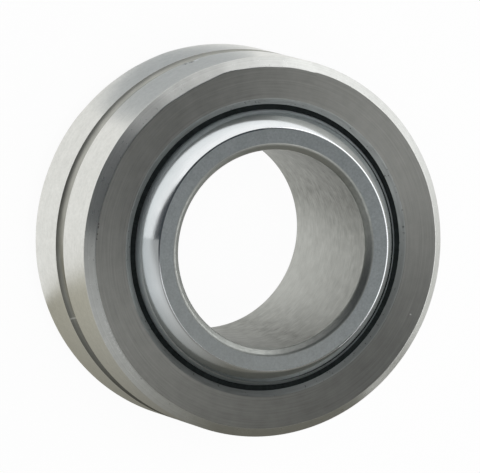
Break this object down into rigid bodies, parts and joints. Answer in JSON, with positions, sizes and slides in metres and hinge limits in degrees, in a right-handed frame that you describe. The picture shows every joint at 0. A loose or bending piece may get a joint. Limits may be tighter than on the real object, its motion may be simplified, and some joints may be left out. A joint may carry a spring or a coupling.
{
  "type": "spherical plain bearing",
  "caption": "Spherical plain bearing: chromed ball with a through bore, tilting in a lined steel race with chamfered edges and a groove round its outside.",
  "frame": {"origin": "centre of the ball, which is also the middle of the race's width", "axes": "+Z along the bore; the two ends are alike, so +Z is either one; X is the axis of the stated tilt"},
  "size_m": [0.0366, 0.0364, 0.019],
  "materials": {
    "race_steel": "ground bright outside, chamfers and groove, darker turned end faces",
    "liner_fabric": "dark resin-bonded self-lubricating fabric",
    "ball_chrome": "hard chrome plate, polished sphere, satin end faces and bore"
  },
  "bodies": {
    "race": {"outer_race": "race_steel", "liner": "liner_fabric"},
    "ball": {"ball": "ball_chrome"}
  },
  "joints": [
    {"name": "ball_tilt", "type": "hinge", "parent": "race", "child": "ball", "pos_m": [0, 0, 0], "axis": [1, 0, 0], "range_deg": [-9, 9]}
  ]
}
